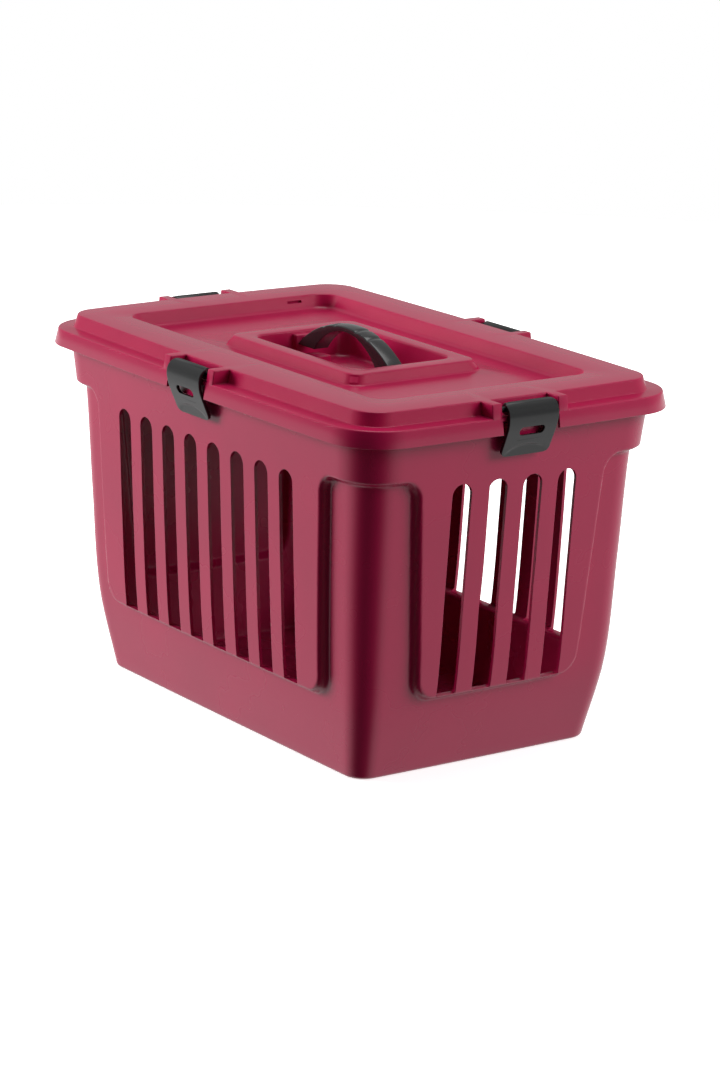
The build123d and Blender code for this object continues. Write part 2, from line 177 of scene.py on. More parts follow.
@dataclass(frozen=True)
class PlasticFinish:
    """A moulded plastic: colour, gloss, slight mottling and a very fine moulded grain."""

    name: str
    colour: tuple[float, float, float]
    roughness: float
    coat: float
    coat_roughness: float = 0.18
    grain_scale: float = 2200.0
    grain_depth: float = 0.02
    mottle: float = 0.05
    edge_round: float = 0.6

    def build(self) -> bpy.types.Material:
        """Builds the node material.

        Returns:
            The material, ready to set on a mesh.
        """
        material = bpy.data.materials.new(self.name)
        material.use_nodes = True
        nodes = material.node_tree.nodes
        links = material.node_tree.links
        shader = nodes["Principled BSDF"]
        shader.inputs["Roughness"].default_value = self.roughness
        shader.inputs["Coat Weight"].default_value = self.coat
        shader.inputs["Coat Roughness"].default_value = self.coat_roughness
        shader.inputs["IOR"].default_value = 1.49
        place = nodes.new("ShaderNodeTexCoord")
        cloud = nodes.new("ShaderNodeTexNoise")
        cloud.inputs["Scale"].default_value = 14.0
        cloud.inputs["Detail"].default_value = 3.0
        links.new(place.outputs["Object"], cloud.inputs["Vector"])
        shade = nodes.new("ShaderNodeValToRGB")
        low = tuple(c * (1.0 - self.mottle) for c in self.colour) + (1.0,)
        high = tuple(min(c * (1.0 + self.mottle), 1.0) for c in self.colour) + (1.0,)
        shade.color_ramp.elements[0].position = 0.3
        shade.color_ramp.elements[0].color = low
        shade.color_ramp.elements[1].position = 0.7
        shade.color_ramp.elements[1].color = high
        links.new(cloud.outputs["Fac"], shade.inputs["Fac"])
        links.new(shade.outputs["Color"], shader.inputs["Base Color"])
        gloss = nodes.new("ShaderNodeMapRange")
        gloss.inputs["To Min"].default_value = self.roughness * 0.88
        gloss.inputs["To Max"].default_value = self.roughness * 1.12
        links.new(cloud.outputs["Fac"], gloss.inputs["Value"])
        links.new(gloss.outputs["Result"], shader.inputs["Roughness"])
        grain = nodes.new("ShaderNodeTexNoise")
        grain.inputs["Scale"].default_value = self.grain_scale
        grain.inputs["Detail"].default_value = 2.0
        links.new(place.outputs["Object"], grain.inputs["Vector"])
        rounding = nodes.new("ShaderNodeBevel")
        rounding.samples = 4
        rounding.inputs["Radius"].default_value = self.edge_round * MM
        bump = nodes.new("ShaderNodeBump")
        bump.inputs["Strength"].default_value = self.grain_depth
        bump.inputs["Distance"].default_value = 0.0002
        links.new(grain.outputs["Fac"], bump.inputs["Height"])
        links.new(rounding.outputs["Normal"], bump.inputs["Normal"])
        links.new(bump.outputs["Normal"], shader.inputs["Normal"])
        return material


TUB_RED = PlasticFinish("tub_raspberry", (0.375, 0.0070, 0.058), 0.27, 0.0)
LID_RED = PlasticFinish("lid_raspberry", (0.380, 0.0070, 0.058), 0.22, 0.0)
CLIP_GREY = PlasticFinish("clip_dark_grey", (0.012, 0.0125, 0.013), 0.30, 0.0, grain_depth=0.03)
HANDLE_BLACK = PlasticFinish("handle_black", (0.010, 0.010, 0.011), 0.20, 0.4, grain_depth=0.005)


def mesh_object(name: str, verts: Iterable[Sequence[float]],
                faces: Iterable[Sequence[int]]) -> bpy.types.Object:
    """Makes a mesh object at the origin.

    Args:
        name: Name of the object.
        verts: Points in millimetres.
        faces: Loops of point numbers.

    Returns:
        The new object, linked to the scene.
    """
    mesh = bpy.data.meshes.new(name)
    mesh.from_pydata([tuple(c * MM for c in v) for v in verts], [], [tuple(f) for f in faces])
    mesh.update()
    made = bpy.data.objects.new(name, mesh)
    bpy.context.scene.collection.objects.link(made)
    return made


def face_outward(made: bpy.types.Object) -> None:
    """Merges doubles and turns the faces of a closed mesh outwards."""
    work = bmesh.new()
    work.from_mesh(made.data)
    bmesh.ops.remove_doubles(work, verts=work.verts, dist=SAME_POINT)
    bmesh.ops.recalc_face_normals(work, faces=work.faces)
    work.to_mesh(made.data)
    work.free()


def smooth_by_angle(made: bpy.types.Object, degrees: float) -> None:
    """Shades a mesh smooth and keeps edges sharp where its faces meet at more than an angle."""
    work = bmesh.new()
    work.from_mesh(made.data)
    limit = math.radians(degrees)
    for face in work.faces:
        face.smooth = True
    for edge in work.edges:
        edge.smooth = len(edge.link_faces) == 2 and edge.calc_face_angle(0.0) < limit
    work.to_mesh(made.data)
    work.free()


def settle(made: bpy.types.Object) -> None:
    """Applies every modifier, so that the object holds a plain mesh."""
    evaluated = made.evaluated_get(bpy.context.evaluated_depsgraph_get())
    mesh = bpy.data.meshes.new_from_object(evaluated)
    made.modifiers.clear()
    old = made.data
    made.data = mesh
    bpy.data.meshes.remove(old)


def combine(made: bpy.types.Object, tools: Sequence[bpy.types.Object], blend: Blend) -> None:
    """Unites a solid with others, or cuts them out of it, and deletes the others.

    Args:
        made: The solid that is kept.
        tools: The other closed solids.
        blend: Whether they are united or cut out.
    """
    group = bpy.data.collections.new("tools")
    bpy.context.scene.collection.children.link(group)
    for tool in tools:
        group.objects.link(tool)
    change = made.modifiers.new("combine", "BOOLEAN")
    change.operation = blend.value
    change.solver = "EXACT"
    change.operand_type = "COLLECTION"
    change.collection = group
    settle(made)
    for tool in tools:
        bpy.data.objects.remove(tool)
    bpy.data.collections.remove(group)


def bevel(made: bpy.types.Object, width: float, segments: int = 3, degrees: float = 40.0) -> None:
    """Rounds the sharp edges of a mesh by a width in millimetres and applies the result."""
    change = made.modifiers.new("round", "BEVEL")
    change.width = width * MM
    change.segments = segments
    change.limit_method = "ANGLE"
    change.angle_limit = math.radians(degrees)
    settle(made)


def dress(made: bpy.types.Object, finish: PlasticFinish, name: str, degrees: float) -> bpy.types.Object:
    """Gives a finished mesh its name, its smooth shading and its material.

    Args:
        made: The object.
        finish: The plastic that it is made of.
        name: Its final name.
        degrees: Edges stay sharp above this angle.

    Returns:
        The same object.
    """
    smooth_by_angle(made, degrees)
    made.data.materials.clear()
    made.data.materials.append(finish.build())
    made.name = name
    return made


def circle(radius: float, steps: int = 32) -> list[tuple[float, float]]:
    """The points of a circle round the origin of its plane."""
    angles = [math.tau * i / steps for i in range(steps)]
    return [(radius * math.cos(angle), radius * math.sin(angle)) for angle in angles]


def block(name: str, low: Sequence[float], high: Sequence[float], lean: float = 0.0) -> bpy.types.Object:
    """A box in millimetres.

    Args:
        name: Name of the object.
        low: Lowest corner.
        high: Highest corner.
        lean: How far the top of the +X face stands back.

    Returns:
        The box, with its faces outwards.
    """
    (x0, y0, z0), (x1, y1, z1) = low, high
    verts = [
        (x0, y0, z0), (x1, y0, z0), (x1, y1, z0), (x0, y1, z0),
        (x0, y0, z1), (x1 - lean, y0, z1), (x1 - lean, y1, z1), (x0, y1, z1),
    ]
    faces = [(0, 3, 2, 1), (4, 5, 6, 7), (0, 1, 5, 4), (1, 2, 6, 5), (2, 3, 7, 6), (3, 0, 4, 7)]
    return mesh_object(name, verts, faces)


def prism(name: str, outline: Sequence[tuple[float, float]], place: Place, low: float,
          high: float) -> bpy.types.Object:
    """A prism over a closed outline.

    Args:
        name: Name of the object.
        outline: Points in the prism's own plane.
        place: Turns (u, v, depth) into a point in space.
        low: First depth.
        high: Second depth.

    Returns:
        The prism, with its faces outwards.
    """
    count = len(outline)
    verts = [place(u, v, low) for u, v in outline] + [place(u, v, high) for u, v in outline]
    faces: list[Sequence[int]] = [list(range(count)), list(range(2 * count - 1, count - 1, -1))]
    faces += [(i, (i + 1) % count, count + (i + 1) % count, count + i) for i in range(count)]
    made = mesh_object(name, verts, faces)
    face_outward(made)
    return made


def turned(made: bpy.types.Object, degrees: float) -> bpy.types.Object:
    """Turns an object's mesh about Z and returns the object."""
    made.data.transform(Matrix.Rotation(math.radians(degrees), 4, "Z"))
    return made


def shell(name: str, rings: Sequence[Ring], spread: Spread,
          move: Callable[[float, float, Ring, int], tuple[float, float]] | None = None) -> bpy.types.Object:
    """A closed solid through a row of rings whose first and last are closed with a fan.

    Args:
        name: Name of the object.
        rings: The rings in order along the profile.
        spread: The columns of every ring.
        move: Optional change of a point in plan.

    Returns:
        The solid, with its faces outwards.
    """
    verts: list[tuple[float, float, float]] = []
    for index, ring in enumerate(rings):
        for x, y in spread.points(ring):
            if move is not None:
                x, y = move(x, y, ring, index)
            verts.append((x, y, ring.z))
    count = len(verts) // len(rings)
    faces: list[Sequence[int]] = []
    for row in range(len(rings) - 1):
        for i in range(count):
            j = (i + 1) % count
            faces.append((row * count + i, row * count + j, (row + 1) * count + j, (row + 1) * count + i))
    for ring, start in ((rings[0], 0), (rings[-1], (len(rings) - 1) * count)):
        verts.append((0.0, 0.0, ring.z))
        faces += [(start + i, start + (i + 1) % count, len(verts) - 1) for i in range(count)]
    made = mesh_object(name, verts, faces)
    face_outward(made)
    return made


def slab(name: str, front: Sequence[Sequence[tuple]], back: Sequence[Sequence[tuple]]) -> bpy.types.Object:
    """A closed solid between two grids of the same size.

    Args:
        name: Name of the object.
        front: Rows of points of one face.
        back: Rows of points of the other face.

    Returns:
        The solid, with its faces outwards.
    """
    rows, wide = len(front), len(front[0])
    verts = [point for grid in (front, back) for row in grid for point in row]
    base = rows * wide
    faces: list[Sequence[int]] = []
    for row in range(rows - 1):
        for column in range(wide - 1):
            a = row * wide + column
            faces.append((a, a + 1, a + wide + 1, a + wide))
            faces.append((base + a, base + a + wide, base + a + wide + 1, base + a + 1))
        for column in (0, wide - 1):
            a = row * wide + column
            faces.append((a, a + wide, base + a + wide, base + a))
    for column in range(wide - 1):
        for a in (column, (rows - 1) * wide + column):
            faces.append((a, a + 1, base + a + 1, base + a))
    made = mesh_object(name, verts, faces)
    face_outward(made)
    return made


def ramp(value: float) -> float:
    """A smooth step from 0 to 1."""
    t = min(max(value, 0.0), 1.0)
    return t * t * (3.0 - 2.0 * t)


def smooth_value(stops: Sequence[float], values: Sequence[float], place: float) -> float:
    """A smooth line through values at given stops.

    Args:
        stops: Rising places.
        values: The value at each place.
        place: Where the line is read.

    Returns:
        The value there.
    """
    index = 0
    while index < len(stops) - 2 and place > stops[index + 1]:
        index += 1
    span = stops[index + 1] - stops[index]
    low, high = values[index], values[index + 1]
    leave = arrive = high - low
    if index > 0:
        leave = (high - values[index - 1]) / (stops[index + 1] - stops[index - 1]) * span
    if index < len(stops) - 2:
        arrive = (values[index + 2] - low) / (stops[index + 2] - stops[index]) * span
    t = (place - stops[index]) / span
    cube, square = t ** 3, t ** 2
    return ((2 * cube - 3 * square + 1) * low + (cube - 2 * square + t) * leave
            + (3 * square - 2 * cube) * high + (cube - square) * arrive)


def round_inside(first: float, second: float, radius: float) -> float:
    """Distance inside a corner of two straight edges that is rounded by a radius."""
    if first < radius and second < radius:
        return radius - math.hypot(radius - first, radius - second)
    return min(first, second)


@dataclass(frozen=True)
class Row:
    """A row of equal pieces, set out by Geometry Nodes."""

    count: int
    pitch: float

    def tree(self, axis: str) -> bpy.types.GeometryNodeTree:
        """Builds the node tree that repeats the incoming piece along an axis, X or Y."""
        tree = bpy.data.node_groups.new("row_of_pieces", "GeometryNodeTree")
        kinds = {"Geometry": "Geometry", "Count": "Int", "Pitch": "Float", "Material": "Material"}
        for name, kind in kinds.items():
            tree.interface.new_socket(name, in_out="INPUT", socket_type=f"NodeSocket{kind}")
        tree.interface.new_socket("Geometry", in_out="OUTPUT", socket_type="NodeSocketGeometry")
        nodes, links = tree.nodes, tree.links
        source, sink = nodes.new("NodeGroupInput"), nodes.new("NodeGroupOutput")
        less, reach, half = (nodes.new("ShaderNodeMath") for _ in range(3))
        less.operation = "SUBTRACT"
        less.inputs[1].default_value = 1.0
        links.new(source.outputs["Count"], less.inputs[0])
        reach.operation = half.operation = "MULTIPLY"
        links.new(less.outputs[0], reach.inputs[0])
        links.new(source.outputs["Pitch"], reach.inputs[1])
        half.inputs[1].default_value = -0.5
        links.new(reach.outputs[0], half.inputs[0])
        start, step = nodes.new("ShaderNodeCombineXYZ"), nodes.new("ShaderNodeCombineXYZ")
        links.new(half.outputs[0], start.inputs[axis])
        links.new(source.outputs["Pitch"], step.inputs[axis])
        line = nodes.new("GeometryNodeMeshLine")
        links.new(source.outputs["Count"], line.inputs["Count"])
        links.new(start.outputs[0], line.inputs["Start Location"])
        links.new(step.outputs[0], line.inputs["Offset"])
        spread = nodes.new("GeometryNodeInstanceOnPoints")
        links.new(line.outputs["Mesh"], spread.inputs["Points"])
        links.new(source.outputs["Geometry"], spread.inputs["Instance"])
        real = nodes.new("GeometryNodeRealizeInstances")
        links.new(spread.outputs["Instances"], real.inputs["Geometry"])
        paint = nodes.new("GeometryNodeSetMaterial")
        links.new(real.outputs["Geometry"], paint.inputs["Geometry"])
        links.new(source.outputs["Material"], paint.inputs["Material"])
        links.new(paint.outputs["Geometry"], sink.inputs["Geometry"])
        return tree

    def repeat(self, piece: bpy.types.Object, axis: str) -> bpy.types.Object:
        """Repeats a piece.

        Args:
            piece: The piece, drawn in the middle of the row.
            axis: X or Y, the direction of the row.

        Returns:
            The same object, as one plain mesh that holds the whole row.
        """
        tree = self.tree(axis)
        change = piece.modifiers.new("row", "NODES")
        change.node_group = tree
        sockets = {item.name: item.identifier for item in tree.interface.items_tree if item.in_out == "INPUT"}
        change[sockets["Count"]] = self.count
        change[sockets["Pitch"]] = self.pitch * MM
        settle(piece)
        return piece


@dataclass(frozen=True)
class CarrierSizes:
    """Sizes that more than one piece uses, in millimetres."""

    half_length: float = 250.0
    half_width: float = 165.75
    side_bow: float = 4.4
    skirt_corner: float = 42.0
    rim_z: float = 299.4
    skirt_bottom_z: float = 288.0
    brim_top_z: float = 302.0
    lid_top_z: float = 313.3
    lid_wall: float = 2.6
    ear_inner: float = 28.0
    pivot_setback: float = 6.5
    pivot_z: float = 307.7
    handle_pivot_z: float = 303.0

    def face(self, side: Side) -> float:
        """Distance from the middle to the skirt's face on one side."""
        return self.half_length if side in (Side.LEFT, Side.RIGHT) else self.half_width

    def outline(self, inset: float, corner: float) -> Feature:
        """A bowed loop in plan that stands in from the skirt's face."""
        return Feature(self.half_length - inset, self.half_width - inset, corner, self.side_bow)


@dataclass
class Tub:
    """The slotted tub: smooth tapered walls, proud panels and recessed corner pilasters."""

    sizes: CarrierSizes
    finish: PlasticFinish
    wall: float = 2.8
    floor: float = 3.2
    step: float = 8.0
    run: float = 5.5
    base_fillet: float = 3.0
    level_z: Sequence[float] = (0.0, 70.0, 160.0, 248.0, 299.4)
    end_insets: Sequence[float] = (58.0, 40.5, 32.6, 26.0, 19.5)
    side_insets: Sequence[float] = (46.0, 34.5, 28.6, 24.5, 19.5)
    corners: Sequence[float] = (18.0, 22.0, 25.0, 27.0, 30.0)
    bows: Sequence[float] = (0.6, 1.6, 2.6, 3.2, 3.5)
    smallest_corner: float = 4.0
    band_z: float = 253.5
    panel_z: float = 67.5
    side_panel: tuple[float, float] = (171.0, 163.5)
    end_panel: tuple[float, float] = (94.5, 81.0)
    panel_corner: float = 18.0
    band_corner: float = 14.0
    slot_width: float = 19.0
    slot_top_z: float = 248.0
    side_row: Row = Row(8, 35.0)
    end_row: Row = Row(4, 35.0)
    catch_setback: float = 6.5
    catch_root: float = 14.0
    catch_half: float = 20.0
    catch_height: float = 11.5
    flange: float = 3.0
    flange_inset: float = 5.8
    flange_round: float = 0.6
    catch_round: float = 0.5
    seat_gap: float = 0.05
    side_cut: tuple[float, float] = (-200.0, 200.0)
    end_cut: tuple[float, float] = (150.0, 260.0)
    slot_arc_steps: int = 12
    row_stops: Sequence[tuple[float, int]] = (
        (58.0, 6), (74.0, 14), (94.0, 9), (230.0, 12), (260.0, 22), (296.4, 4),
    )
    spread: Spread = field(default_factory=lambda: Spread(
        ((0.80, 14), (0.96, 22), (1.0, 2)), ((0.62, 7), (0.93, 22), (1.0, 3)), 11))
    sharp_above: float = 52.0

    def ring(self, z: float, inward: float) -> Ring:
        """The ring of the recessed body at a height, moved inward."""
        lines = (self.end_insets, self.side_insets, self.corners, self.bows)
        end, side, corner, bow = (smooth_value(self.level_z, values, z) for values in lines)
        return Ring(self.sizes.half_length - end - inward, self.sizes.half_width - side - inward,
                    max(corner - inward, self.smallest_corner), bow, z)

    def proud(self, x: float, y: float, z: float, inward: float) -> float:
        """How far out a point of the wall stands, from 0 in a pilaster to 1 on a panel or the band."""
        deepest = -self.run
        share = min(max((z - self.panel_z) / (self.band_z - self.panel_z), 0.0), 1.0)
        for place, (top, low) in ((abs(x), self.side_panel), (abs(y), self.end_panel)):
            half = low + (top - low) * share - inward
            panel = round_inside(half - place, z - self.panel_z - inward, self.panel_corner)
            deepest = max(deepest, -round_inside(-panel, self.band_z + inward - z, self.band_corner))
        return ramp(deepest / self.run + 0.5)

    def heights(self) -> list[float]:
        """Heights of the wall's rows, crowded where the faces step."""
        rows = [self.base_fillet]
        for stop, count in self.row_stops:
            start = rows[-1]
            rows += [start + (stop - start) * (i + 1) / count for i in range(count)]
        return rows

    def body(self) -> bpy.types.Object:
        """The closed wall and floor, before the slots are cut."""
        sizes, fillet = self.sizes, self.base_fillet
        rows: list[tuple[Ring, float]] = []
        for i in range(5):
            angle = math.radians(18.0 * i)
            rows.append((self.ring(fillet * (1.0 - math.cos(angle)), fillet * (1.0 - math.sin(angle))), 0.0))
        rows += [(self.ring(z, 0.0), 0.0) for z in self.heights()]
        outline = sizes.outline(0.0, sizes.skirt_corner)
        rows += [(outline.ring(-self.flange_inset - off, z), -1.0) for off, z in (
            (0.0, sizes.rim_z - self.flange),
            (0.0, sizes.rim_z - self.flange_round),
            (self.flange_round, sizes.rim_z),
        )]
        rows.append((self.ring(sizes.rim_z, self.wall), self.wall))
        inside = [z for z in reversed(self.heights()) if z > self.floor + fillet]
        rows += [(self.ring(z, self.wall), self.wall) for z in inside]
        for i in range(5):
            angle = math.radians(22.5 * i)
            z = self.floor + fillet * (1.0 - math.sin(angle))
            rows.append((self.ring(z, self.wall + fillet * (1.0 - math.cos(angle))), self.wall))

        def push(x: float, y: float, ring: Ring, index: int) -> tuple[float, float]:
            """Moves a point of the wall outward where a panel or the band stands proud."""
            inward = rows[index][1]
            out = 0.0 if inward < 0 else self.step * self.proud(x, y, ring.z, inward)
            if out == 0.0:
                return x, y
            cx = max(abs(x) - (ring.half_x - ring.corner), 0.0)
            cy = max(abs(y) - (ring.half_y - ring.corner), 0.0)
            length = math.hypot(cx, cy) or 1.0
            return x + math.copysign(out * cx / length, x), y + math.copysign(out * cy / length, y)

        return shell("tub_wall", [row[0] for row in rows], self.spread, push)

    def slots(self, row: Row, axis: str) -> bpy.types.Object:
        """A row of upright slot cutters with round tops and square feet."""
        foot = self.panel_z + self.wall
        half, steps = self.slot_width / 2, self.slot_arc_steps
        top = self.slot_top_z - half
        outline = [(-half, foot), (half, foot)]
        for angle in [math.pi * i / steps for i in range(steps + 1)]:
            outline.append((half * math.cos(angle), top + half * math.sin(angle)))
        if axis == "Y":
            return row.repeat(prism("end_slots", outline, lambda u, v, d: (d, u, v), *self.end_cut), axis)
        return row.repeat(prism("side_slots", outline, lambda u, v, d: (u, d, v), *self.side_cut), axis)

    def catch(self, side: Side) -> bpy.types.Object:
        """One catch block under the rim."""
        face, top = self.sizes.face(side), self.sizes.rim_z - self.seat_gap
        low = (face - self.catch_root, -self.catch_half, self.sizes.rim_z - self.flange - self.catch_height)
        made = block("catch", low, (face - self.catch_setback, self.catch_half, top))
        bevel(made, self.catch_round, 2)
        return turned(made, side.degrees)

    def build(self) -> bpy.types.Object:
        """Builds and dresses the tub.

        Returns:
            The finished object.
        """
        made = self.body()
        combine(made, [self.slots(self.side_row, "X"), self.slots(self.end_row, "Y")], Blend.CUT)
        combine(made, [self.catch(side) for side in Side], Blend.UNION)
        return dress(made, self.finish, "tub_shell", self.sharp_above)


@dataclass
class Lid:
    """The lid: skirt, brim, raised top, recess, plinth, handle well and clip ears."""

    sizes: CarrierSizes
    finish: PlasticFinish
    edge_inset: float = 18.7
    draft: float = 2.0
    corner: float = 24.0
    recess: Feature = Feature(190.0, 106.0, 16.0)
    recess_foot: Feature = Feature(187.0, 103.0, 16.0)
    plinth: Feature = Feature(94.0, 64.0, 13.0)
    plinth_foot: Feature = Feature(97.0, 67.0, 13.0)
    well: Feature = Feature(77.0, 49.0, 12.0)
    well_foot: Feature = Feature(74.0, 46.0, 12.0)
    recess_depth: float = 12.0
    plinth_drop: float = 3.0
    well_depth: float = 26.0
    bowl_radius: float = 60.0
    bowl_depth: float = 8.0
    ear_width: float = 9.5
    ear_root: float = 24.0
    ear_setback: float = 2.15
    ear_sink: float = 1.5
    ear_lean: float = 1.8
    ear_round: float = 0.9
    pads: Sequence[tuple[float, ...]] = ((70.6, 78.0, 8.0, 307.5), (42.0, 60.0, 9.0, 293.8))
    pad_sink: float = 1.3
    pad_round: float = 0.8
    lip_inset: float = 15.8
    lip_depth: float = 6.0
    window_depth: float = 5.8
    window_past: float = 6.0
    window_bottom_z: float = 280.0
    socket_radius: float = 2.27
    socket_reach: float = 33.0
    bearing_radius: float = 2.47
    bearing_span: tuple[float, float] = (70.0, 75.9)
    notch_x: tuple[float, float] = (-191.0, -188.0)
    notch_y: tuple[float, float] = (61.5, 76.5)
    notch_rise: tuple[float, float] = (4.0, 8.0)
    spread: Spread = field(default_factory=lambda: Spread(((1.0, 22),), ((1.0, 14),), 14))
    sharp_above: float = 34.0

    @property
    def floor_z(self) -> float:
        """Height of the recess floor."""
        return self.sizes.lid_top_z - self.recess_depth

    @property
    def plinth_z(self) -> float:
        """Height of the plinth's top."""
        return self.sizes.lid_top_z - self.plinth_drop

    @property
    def well_z(self) -> float:
        """Height of the well's floor."""
        return self.plinth_z - self.well_depth

    def bowl(self, grow: float, steps: int = 10) -> list[Ring]:
        """Rings of the finger bowl from its middle outward."""
        centre_z = self.well_z - self.bowl_depth + self.bowl_radius
        radius = self.bowl_radius + grow
        last = math.acos((centre_z - self.well_z + grow) / radius)
        rings = []
        for i in range(1, steps + 1):
            angle = last * i / steps
            across = radius * math.sin(angle)
            rings.append(Ring(across, across, across * 0.999, 0.0, centre_z - radius * math.cos(angle)))
        return rings

    def rings(self) -> list[Ring]:
        """The whole profile, from the bowl outward over the top and back underneath."""
        sizes, wall, lip = self.sizes, self.sizes.lid_wall, self.lip_inset
        top, brim, lip_z = sizes.lid_top_z, sizes.brim_top_z, sizes.rim_z - self.lip_depth
        edge = sizes.outline(self.edge_inset, self.corner)
        edge_foot = sizes.outline(self.edge_inset - self.draft, self.corner)
        skirt = sizes.outline(0.0, sizes.skirt_corner)
        skirt_top = sizes.outline(self.draft, sizes.skirt_corner)
        rows = self.bowl(0.0)
        rows += self.well_foot.arc(-3.0, self.well_z + 3.0, 3.0, -90, 0)
        rows += self.well.arc(2.0, self.plinth_z - 2.0, 2.0, 180, 90)
        rows += self.plinth.arc(-2.2, self.plinth_z - 2.2, 2.2, 90, 0)
        rows += self.plinth_foot.arc(2.5, self.floor_z + 2.5, 2.5, 180, 270)
        rows += self.recess_foot.arc(-4.0, self.floor_z + 4.0, 4.0, -90, 0)
        rows += self.recess.arc(1.6, top - 1.6, 1.6, 180, 90)
        rows += edge.arc(-1.3, top - 1.3, 1.3, 90, 0)
        rows += edge_foot.arc(1.0, brim + 1.0, 1.0, 180, 270, 3)
        rows += skirt_top.arc(-1.6, brim - 1.6, 1.6, 90, 0)
        rows += skirt.arc(-0.6, sizes.skirt_bottom_z + 0.6, 0.6, 0, -90, 3)
        rows += [loop.ring(off, z) for loop, off, z in (
            (skirt, -wall, sizes.skirt_bottom_z),
            (skirt, -wall - self.draft, sizes.rim_z),
            (skirt, -lip, sizes.rim_z),
            (skirt, -lip, lip_z),
            (skirt, -lip - wall, lip_z),
            (skirt, -lip - wall, sizes.rim_z),
            (edge, -wall, sizes.rim_z),
            (edge, -wall, top - wall),
            (self.recess, wall, top - wall),
            (self.recess_foot, wall, self.floor_z - wall),
            (self.plinth_foot, -wall, self.floor_z - wall),
            (self.plinth, -wall, self.plinth_z - wall),
            (self.well, wall, self.plinth_z - wall),
            (self.well_foot, wall, self.well_z - wall),
        )]
        return rows + list(reversed(self.bowl(wall)))

    def ears(self, side: Side) -> list[bpy.types.Object]:
        """The two ears of one side."""
        sizes = self.sizes
        face = sizes.face(side)
        inner = sizes.ear_inner
        made = []
        for sign in (-1, 1):
            span = sorted((sign * inner, sign * (inner + self.ear_width)))
            ear = block("ear", (face - self.ear_root, span[0], sizes.brim_top_z - self.ear_sink),
                        (face - self.ear_setback, span[1], sizes.lid_top_z), self.ear_lean)
            bevel(ear, self.ear_round)
            made.append(turned(ear, side.degrees))
        return made

    def furniture(self) -> list[bpy.types.Object]:
        """The bearing bosses and the rest blocks in the well."""
        made = []
        for sign in (-1, 1):
            for near, far, wide, top in self.pads:
                span = sorted((sign * near, sign * far))
                low = (span[0], -wide, self.well_z - self.pad_sink)
                piece = block("furniture", low, (span[1], wide, top))
                bevel(piece, self.pad_round)
                made.append(piece)
        return made

    def cutters(self) -> list[bpy.types.Object]:
        """Windows behind the clips, sockets for stubs and trunnions, and the recess notch."""
        sizes = self.sizes
        made = []
        for side in Side:
            face = sizes.face(side)
            window = block("window", (face - self.window_depth, -sizes.ear_inner, self.window_bottom_z),
                           (face + self.window_past, sizes.ear_inner, sizes.rim_z))
            made.append(turned(window, side.degrees))
            pivot = face - sizes.pivot_setback
            hole = prism("socket", circle(self.socket_radius, 20),
                         lambda u, v, d, x=pivot: (x + u, d, sizes.pivot_z + v),
                         -self.socket_reach, self.socket_reach)
            made.append(turned(hole, side.degrees))
        near, far = self.bearing_span
        for low, high in ((-far, -near), (near, far)):
            made.append(prism("bearing", circle(self.bearing_radius, 24),
                              lambda u, v, d: (d, u, sizes.handle_pivot_z + v), low, high))
        (x0, x1), (y0, y1), (rise, end) = self.notch_x, self.notch_y, self.notch_rise
        made.append(block("notch", (x0, y0, self.floor_z + rise), (x1, y1, self.floor_z + end)))
        return made

    def build(self) -> bpy.types.Object:
        """Builds and dresses the lid.

        Returns:
            The finished object.
        """
        made = shell("lid_shell", self.rings(), self.spread)
        additions = self.furniture()
        for side in Side:
            additions += self.ears(side)
        combine(made, additions, Blend.UNION)
        combine(made, self.cutters(), Blend.CUT)
        return dress(made, self.finish, "lid_shell", self.sharp_above)


